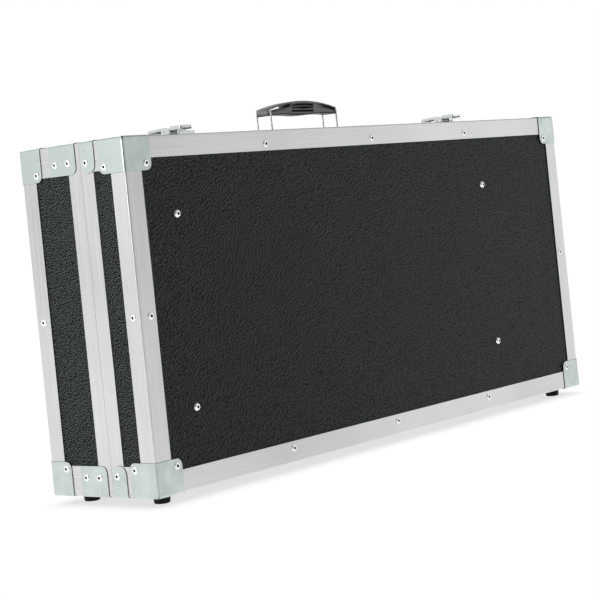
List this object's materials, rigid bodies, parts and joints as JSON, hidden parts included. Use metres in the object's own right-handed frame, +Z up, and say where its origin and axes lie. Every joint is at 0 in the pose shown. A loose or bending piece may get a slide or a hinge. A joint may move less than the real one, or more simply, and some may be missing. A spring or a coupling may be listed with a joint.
{
  "type": "flight case",
  "caption": "Hinged two-part flight case with aluminium edging, riveted corner brackets, draw latches and a fold-down carrying handle.",
  "frame": {"origin": "on the floor under the middle of the case, which stands on the four feet of its long narrow side", "axes": "+Z up through the top with the handle and latches; +X along the length; -Y out of the lid's large face, which carries the four bolts; +Y out of the base's large face"},
  "size_m": [1.0856, 0.2116, 0.5525],
  "materials": {
    "black_panel": "plywood with black leather-grain laminate, low sheen",
    "aluminium": "satin anodised extrusion with fine lines along its length",
    "zinc_steel": "bright zinc plate",
    "rivet_steel": "bright blind rivet heads",
    "screw_steel": "plated screw steel",
    "nickel_steel": "nickel plated pressed steel",
    "wire": "zinc plated round wire",
    "rubber": "matt black rubber",
    "foam": "dark grey foam lining",
    "grip_plastic": "dark grey moulded plastic, fine texture"
  },
  "bodies": {
    "base": {"base_face_panel": "black_panel", "base_top_panel": "black_panel", "base_bottom_panel": "black_panel", "base_left_panel": "black_panel", "base_right_panel": "black_panel", "base_top_edge": "aluminium", "base_bottom_edge": "aluminium", "base_left_edge": "aluminium", "base_right_edge": "aluminium", "base_cross_edges": "aluminium", "base_closing_frame": "aluminium", "base_corner_brackets": "zinc_steel", "base_closing_brackets": "zinc_steel", "base_hinge_leaves": "zinc_steel", "base_rivets": "rivet_steel", "base_feet": "rubber", "base_foot_screws": "screw_steel", "base_lining": "foam", "hinge_pins": "screw_steel", "latch_lever_pins": "screw_steel", "latch_plates": "nickel_steel", "handle_clips": "zinc_steel"},
    "lid": {"lid_face_panel": "black_panel", "lid_top_panel": "black_panel", "lid_bottom_panel": "black_panel", "lid_left_panel": "black_panel", "lid_right_panel": "black_panel", "lid_top_edge": "aluminium", "lid_bottom_edge": "aluminium", "lid_left_edge": "aluminium", "lid_right_edge": "aluminium", "lid_cross_edges": "aluminium", "lid_closing_frame": "aluminium", "lid_corner_brackets": "zinc_steel", "lid_closing_brackets": "zinc_steel", "lid_hinge_leaves": "zinc_steel", "lid_rivets": "rivet_steel", "lid_feet": "rubber", "lid_foot_screws": "screw_steel", "lid_lining": "foam", "panel_bolts": "screw_steel", "panel_washers": "screw_steel", "panel_standoffs": "screw_steel", "latch_keepers": "nickel_steel"},
    "latch_left_lever": {"latch_left_lever": "nickel_steel", "latch_left_claw_pin": "screw_steel"},
    "latch_left_claw": {"latch_left_claw": "nickel_steel"},
    "handle_left_ring": {"handle_left_ring": "wire"},
    "latch_right_lever": {"latch_right_lever": "nickel_steel", "latch_right_claw_pin": "screw_steel"},
    "latch_right_claw": {"latch_right_claw": "nickel_steel"},
    "handle_right_ring": {"handle_right_ring": "wire"},
    "handle_grip": {"handle_grip": "grip_plastic"}
  },
  "joints": [
    {"name": "lid_hinge", "type": "hinge", "parent": "base", "child": "lid", "pos_m": [0, -0.017, 0.0102], "axis": [1, 0, 0], "range_deg": [0, 95]},
    {"name": "latch_left_lever", "type": "hinge", "parent": "base", "child": "latch_left_lever", "pos_m": [-0.341, -0.008, 0.5076], "axis": [1, 0, 0], "range_deg": [0, 110]},
    {"name": "latch_left_claw", "type": "hinge", "parent": "latch_left_lever", "child": "latch_left_claw", "pos_m": [-0.341, 0.001, 0.5066], "axis": [1, 0, 0], "range_deg": [-110, 0]},
    {"name": "latch_right_lever", "type": "hinge", "parent": "base", "child": "latch_right_lever", "pos_m": [0.341, -0.008, 0.5076], "axis": [1, 0, 0], "range_deg": [0, 110]},
    {"name": "latch_right_claw", "type": "hinge", "parent": "latch_right_lever", "child": "latch_right_claw", "pos_m": [0.341, 0.001, 0.5066], "axis": [1, 0, 0], "range_deg": [-110, 0]},
    {"name": "handle_left_ring", "type": "hinge", "parent": "base", "child": "handle_left_ring", "pos_m": [-0.0824, 0.0405, 0.49815], "axis": [0, 1, 0], "range_deg": [-72, 72]},
    {"name": "handle_right_ring", "type": "hinge", "parent": "base", "child": "handle_right_ring", "pos_m": [0.0824, 0.0405, 0.49815], "axis": [0, 1, 0], "range_deg": [-72, 72]},
    {"name": "handle_grip", "type": "hinge", "parent": "handle_left_ring", "child": "handle_grip", "pos_m": [-0.0824, 0.0405, 0.5366], "axis": [0, 1, 0], "range_deg": [-72, 72]}
  ],
  "couplings": [
    {"joint": "latch_left_claw", "follows": "latch_left_lever", "ratio": -1},
    {"joint": "latch_right_claw", "follows": "latch_right_lever", "ratio": -1},
    {"joint": "handle_right_ring", "follows": "handle_left_ring", "ratio": 1},
    {"joint": "handle_grip", "follows": "handle_left_ring", "ratio": -1}
  ]
}
